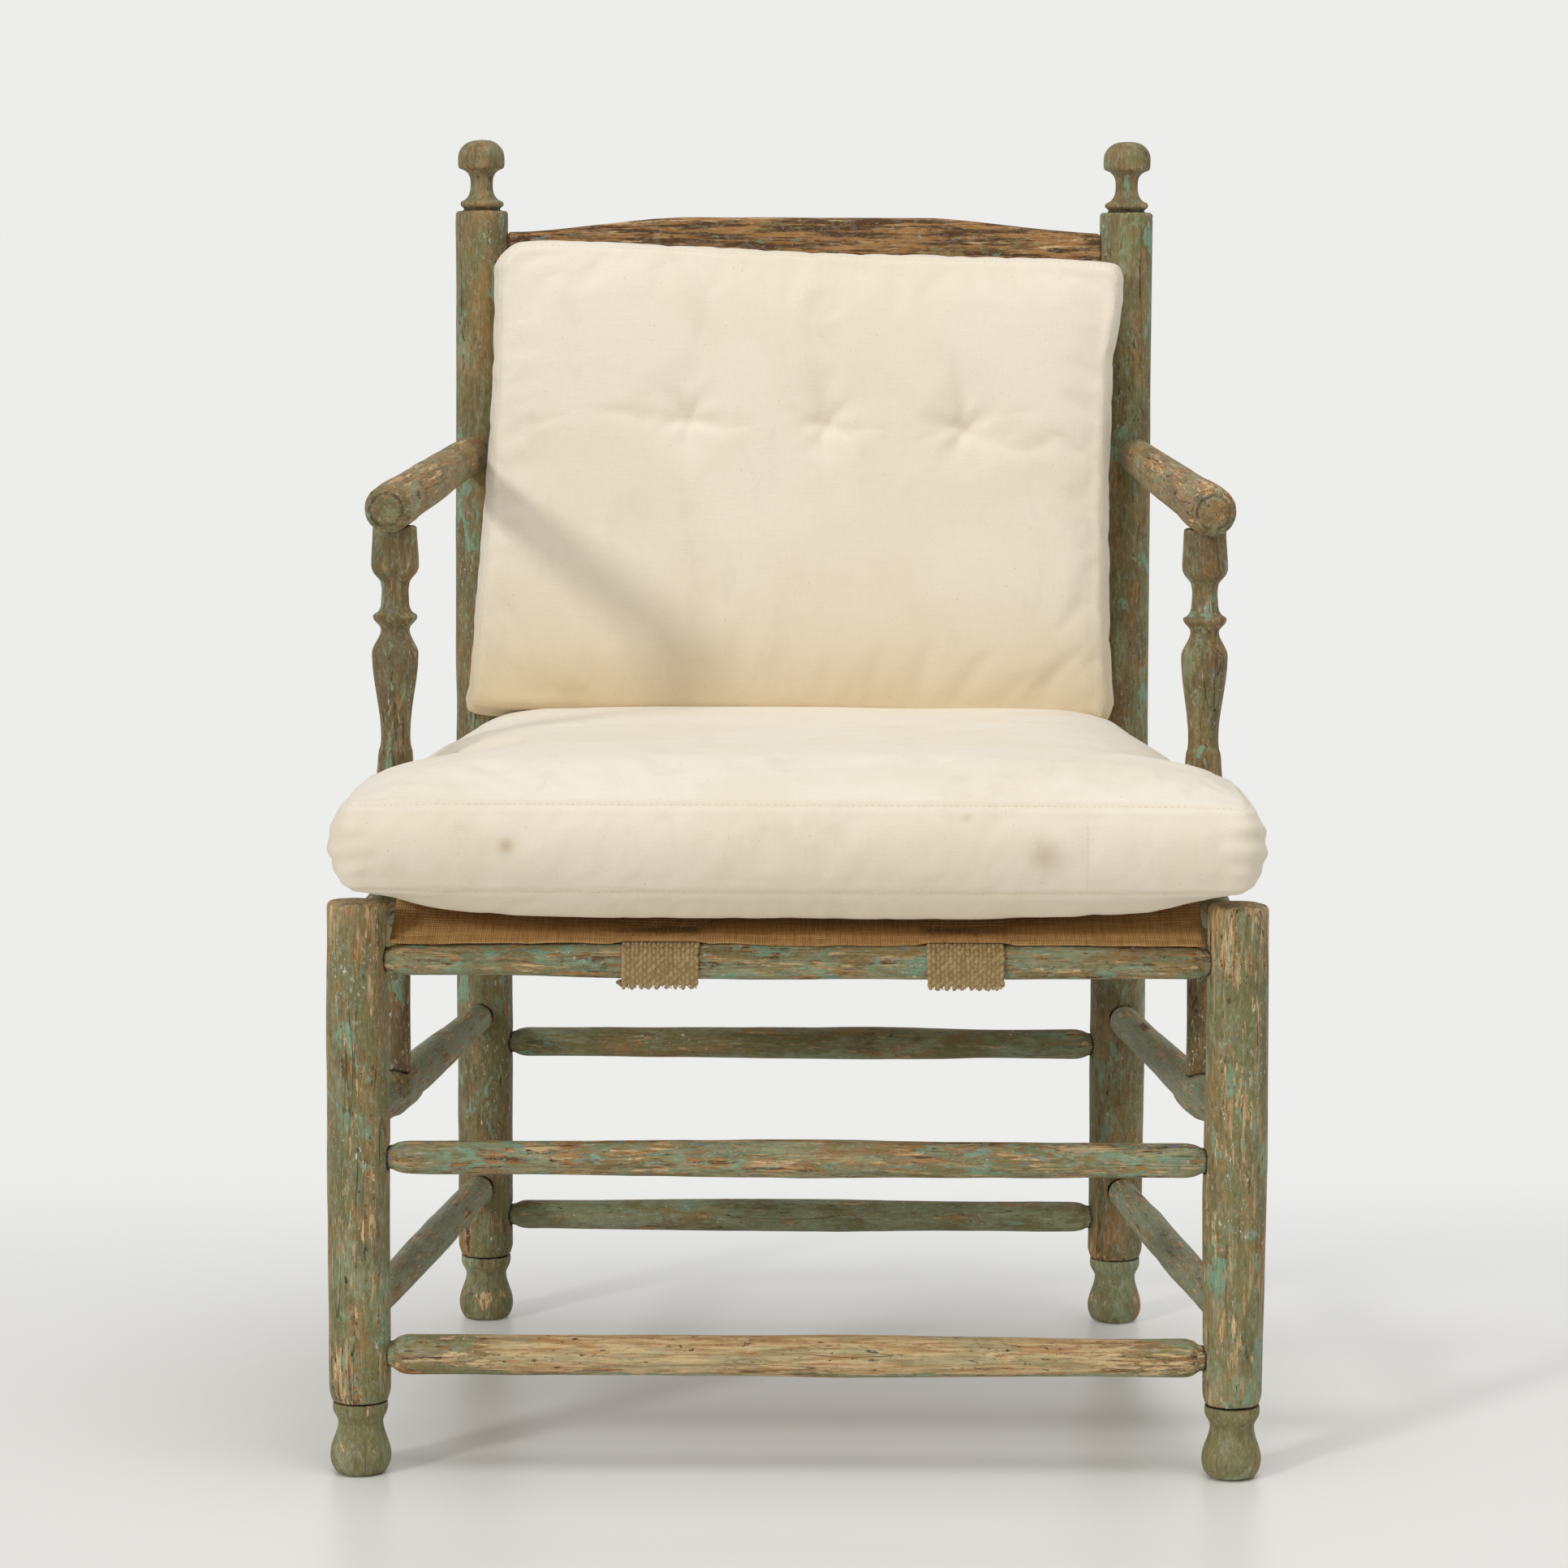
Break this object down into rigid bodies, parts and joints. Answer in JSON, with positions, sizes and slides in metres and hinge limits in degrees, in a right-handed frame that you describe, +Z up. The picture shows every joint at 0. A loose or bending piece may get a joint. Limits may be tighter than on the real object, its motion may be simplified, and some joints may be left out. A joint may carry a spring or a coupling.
{
  "type": "ladder-back armchair",
  "caption": "Rustic ladder-back armchair of turned posts and rungs with turned finials and feet, round arms on balusters, a webbed seat and loose boxed cushions.",
  "frame": {"origin": "on the floor, under the middle of the bounding box", "axes": "+Z up, the sitter faces -Y, +X to the sitter's left, which is the right in a front view"},
  "size_m": [0.6804, 0.5849, 0.974],
  "materials": {
    "worn_paint": "distressed green paint over wood",
    "worn_wood": "dry brown wood with traces of paint",
    "calico": "unbleached plain weave cotton",
    "hessian": "open plain weave jute cloth",
    "jute_webbing": "coarse jute webbing",
    "tack_steel": "dull blued steel"
  },
  "bodies": {
    "frame": {"front_leg_left": "worn_paint", "front_leg_right": "worn_paint", "rear_post_left": "worn_paint", "rear_post_right": "worn_paint", "front_foot_left": "worn_paint", "front_foot_right": "worn_paint", "rear_foot_left": "worn_paint", "rear_foot_right": "worn_paint", "front_seat_rail": "worn_paint", "rear_seat_rail": "worn_paint", "side_seat_rail_left": "worn_paint", "side_seat_rail_right": "worn_paint", "front_stretcher_upper": "worn_paint", "front_stretcher_lower": "worn_paint", "rear_stretcher_upper": "worn_paint", "rear_stretcher_lower": "worn_paint", "side_stretcher_upper_left": "worn_paint", "side_stretcher_upper_right": "worn_paint", "side_stretcher_lower_left": "worn_paint", "side_stretcher_lower_right": "worn_paint", "arm_left": "worn_paint", "arm_right": "worn_paint", "arm_support_left": "worn_paint", "arm_support_right": "worn_paint", "crest_rail": "worn_wood", "back_slat_upper": "worn_wood", "back_slat_middle": "worn_wood", "back_slat_lower": "worn_wood", "crest_pegs": "worn_wood", "web_strap_long_left": "jute_webbing", "web_strap_long_right": "jute_webbing", "web_strap_cross_front": "jute_webbing", "web_strap_cross_middle": "jute_webbing", "web_strap_cross_rear": "jute_webbing", "hessian_cover": "hessian", "webbing_tacks": "tack_steel"},
    "seat_pad": {"seat_cushion": "calico"},
    "back_pad": {"back_cushion": "calico"}
  },
  "joints": [
    {"name": "seat_cushion_slide", "type": "slide", "parent": "frame", "child": "seat_pad", "axis": [0, -1, 0], "range_m": [0, 0.56]},
    {"name": "back_cushion_lift", "type": "slide", "parent": "frame", "child": "back_pad", "axis": [0, 0, 1], "range_m": [0, 0.5]}
  ]
}
